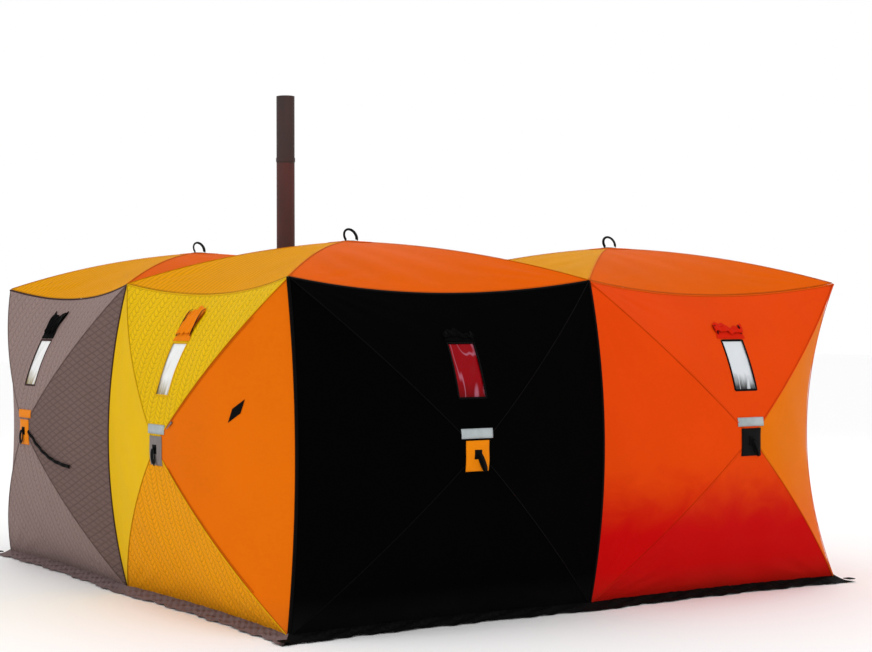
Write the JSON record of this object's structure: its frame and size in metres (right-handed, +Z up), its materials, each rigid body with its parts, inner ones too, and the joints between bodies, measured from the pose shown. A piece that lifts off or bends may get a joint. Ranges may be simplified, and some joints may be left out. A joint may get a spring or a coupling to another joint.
{
  "type": "ice fishing shelter",
  "caption": "Pop-up hub ice fishing shelter in an L plan: quilted cloth walls on bowed rods and pull-out hubs, windows with fold-up covers, zipped door, snow skirt and stove pipe",
  "frame": {"origin": "ground level under the middle of the bounding box, at the inner corner of the L", "axes": "+Z up, front facade faces -Y, left facade faces -X"},
  "size_m": [4.62, 4.62, 3.0895],
  "materials": {
    "cloth_yellow": "woven, quilted",
    "cloth_orange": "woven",
    "cloth_black": "woven",
    "cloth_grey": "woven, quilted",
    "webbing": "webbing",
    "fibreglass": "satin",
    "hub_plastic": "satin",
    "film": "clear film",
    "pipe_steel": "heat stained",
    "jack": "coated",
    "zip": "moulded",
    "patch_amber": "coated"
  },
  "bodies": {
    "shell": {"wall_black": "cloth_black", "wall_orange": "cloth_orange", "wall_right_end": "cloth_orange", "wall_right_back": "cloth_black", "wall_left_inner": "cloth_yellow", "wall_left_end": "cloth_grey", "wall_grey": "cloth_grey", "wall_yellow": "cloth_yellow", "roof_mid": "cloth_yellow", "roof_right": "cloth_yellow", "roof_left": "cloth_yellow", "rods_black": "fibreglass", "rods_orange": "fibreglass", "rods_right_end": "fibreglass", "rods_right_back": "fibreglass", "rods_left_inner": "fibreglass", "rods_left_end": "fibreglass", "rods_grey": "fibreglass", "rods_yellow": "fibreglass", "rods_roof": "fibreglass", "corner_joints": "hub_plastic", "corner_feet": "hub_plastic", "snow_skirt": "cloth_black", "window_panes": "film", "stove_jack": "jack"},
    "hub_black": {"hub_black": "hub_plastic", "pull_black": "patch_amber"},
    "hub_orange": {"hub_orange": "hub_plastic", "pull_orange": "webbing"},
    "hub_right_end": {"hub_right_end": "hub_plastic", "pull_right_end": "webbing"},
    "hub_right_back": {"hub_right_back": "hub_plastic", "pull_right_back": "webbing"},
    "hub_left_inner": {"hub_left_inner": "hub_plastic", "pull_left_inner": "webbing"},
    "hub_left_end": {"hub_left_end": "hub_plastic", "pull_left_end": "webbing"},
    "hub_grey": {"hub_grey": "hub_plastic", "pull_grey": "patch_amber"},
    "hub_yellow": {"hub_yellow": "hub_plastic", "pull_yellow": "webbing"},
    "hub_roof_mid": {"hub_roof_mid": "hub_plastic", "pull_roof_mid": "webbing"},
    "hub_roof_right": {"hub_roof_right": "hub_plastic", "pull_roof_right": "webbing"},
    "hub_roof_left": {"hub_roof_left": "hub_plastic", "pull_roof_left": "webbing"},
    "cover_black": {"cover_black": "cloth_orange"},
    "cover_orange": {"cover_orange": "cloth_orange"},
    "cover_right_end": {"cover_right_end": "cloth_orange"},
    "cover_right_back": {"cover_right_back": "cloth_orange"},
    "cover_left_inner": {"cover_left_inner": "cloth_orange"},
    "cover_left_end": {"cover_left_end": "cloth_orange"},
    "cover_grey": {"cover_grey": "cloth_black"},
    "cover_yellow": {"cover_yellow": "cloth_orange"},
    "door_edge": {"door_zip_tape": "zip"},
    "door": {"door_leaf": "cloth_orange"},
    "zip_slider": {"zip_slider": "zip"},
    "pipe": {"pipe_lower": "pipe_steel"},
    "pipe_top": {"pipe_upper": "pipe_steel"}
  },
  "joints": [
    {"name": "pop_black", "type": "slide", "parent": "shell", "child": "hub_black", "axis": [0, 1, 0], "range_m": [0, 0.58], "deforming": ["rods_black"]},
    {"name": "pop_orange", "type": "slide", "parent": "shell", "child": "hub_orange", "axis": [0, 1, 0], "range_m": [0, 0.58], "deforming": ["rods_orange"]},
    {"name": "pop_right_end", "type": "slide", "parent": "shell", "child": "hub_right_end", "axis": [-1, 0, 0], "range_m": [0, 0.58], "deforming": ["rods_right_end"]},
    {"name": "pop_right_back", "type": "slide", "parent": "shell", "child": "hub_right_back", "axis": [0, -1, 0], "range_m": [0, 0.58], "deforming": ["rods_right_back"]},
    {"name": "pop_left_inner", "type": "slide", "parent": "shell", "child": "hub_left_inner", "axis": [-1, 0, 0], "range_m": [0, 0.58], "deforming": ["rods_left_inner"]},
    {"name": "pop_left_end", "type": "slide", "parent": "shell", "child": "hub_left_end", "axis": [0, -1, 0], "range_m": [0, 0.58], "deforming": ["rods_left_end"]},
    {"name": "pop_grey", "type": "slide", "parent": "shell", "child": "hub_grey", "axis": [1, 0, 0], "range_m": [0, 0.58], "deforming": ["rods_grey"]},
    {"name": "pop_yellow", "type": "slide", "parent": "shell", "child": "hub_yellow", "axis": [1, 0, 0], "range_m": [0, 0.58], "deforming": ["rods_yellow"]},
    {"name": "pop_roof_mid", "type": "slide", "parent": "shell", "child": "hub_roof_mid", "axis": [0, 0, -1], "range_m": [0, 0.48], "deforming": ["rods_roof"]},
    {"name": "pop_roof_right", "type": "slide", "parent": "shell", "child": "hub_roof_right", "axis": [0, 0, -1], "range_m": [0, 0.48], "deforming": ["rods_roof"]},
    {"name": "pop_roof_left", "type": "slide", "parent": "shell", "child": "hub_roof_left", "axis": [0, 0, -1], "range_m": [0, 0.48], "deforming": ["rods_roof"]},
    {"name": "fold_cover_black", "type": "hinge", "parent": "shell", "child": "cover_black", "pos_m": [-1, -2.12538, 1.55921], "axis": [1, 0, 0], "range_deg": [0, 165]},
    {"name": "fold_cover_orange", "type": "hinge", "parent": "shell", "child": "cover_orange", "pos_m": [1, -2.12538, 1.55921], "axis": [1, 0, 0], "range_deg": [0, 165]},
    {"name": "fold_cover_right_end", "type": "hinge", "parent": "shell", "child": "cover_right_end", "pos_m": [2.12538, -1, 1.55921], "axis": [0, 1, 0], "range_deg": [0, 165]},
    {"name": "fold_cover_right_back", "type": "hinge", "parent": "shell", "child": "cover_right_back", "pos_m": [1, 0.12538, 1.55921], "axis": [-1, 0, 0], "range_deg": [0, 165]},
    {"name": "fold_cover_left_inner", "type": "hinge", "parent": "shell", "child": "cover_left_inner", "pos_m": [0.12538, 1, 1.55921], "axis": [0, 1, 0], "range_deg": [0, 165]},
    {"name": "fold_cover_left_end", "type": "hinge", "parent": "shell", "child": "cover_left_end", "pos_m": [-1, 2.12538, 1.55921], "axis": [-1, 0, 0], "range_deg": [0, 165]},
    {"name": "fold_cover_grey", "type": "hinge", "parent": "shell", "child": "cover_grey", "pos_m": [-2.12538, 1, 1.55921], "axis": [0, -1, 0], "range_deg": [0, 165]},
    {"name": "fold_cover_yellow", "type": "hinge", "parent": "shell", "child": "cover_yellow", "pos_m": [-2.12538, -1, 1.55921], "axis": [0, -1, 0], "range_deg": [0, 165]},
    {"name": "door_follow", "type": "hinge", "parent": "shell", "child": "door_edge", "pos_m": [-2.086, -1.81, 0.95], "axis": [0, 0, -1], "range_deg": [0, 40.8]},
    {"name": "door_swing", "type": "hinge", "parent": "door_edge", "child": "door", "pos_m": [-2.086, -1.81, 0.95], "axis": [0, 0, 1], "range_deg": [0, 105]},
    {"name": "zip_run", "type": "slide", "parent": "door", "child": "zip_slider", "axis": [0.1319, -0.7261, 0.6748], "range_m": [0, 0.38]},
    {"name": "pipe_lift", "type": "slide", "parent": "shell", "child": "pipe", "axis": [0, 0, 1], "range_m": [0, 0.5]},
    {"name": "pipe_join", "type": "slide", "parent": "pipe", "child": "pipe_top", "axis": [0, 0, 1], "range_m": [0, 0.06]}
  ],
  "couplings": [
    {"joint": "door_follow", "follows": "pop_yellow", "rad_per_m": 1.2272}
  ]
}
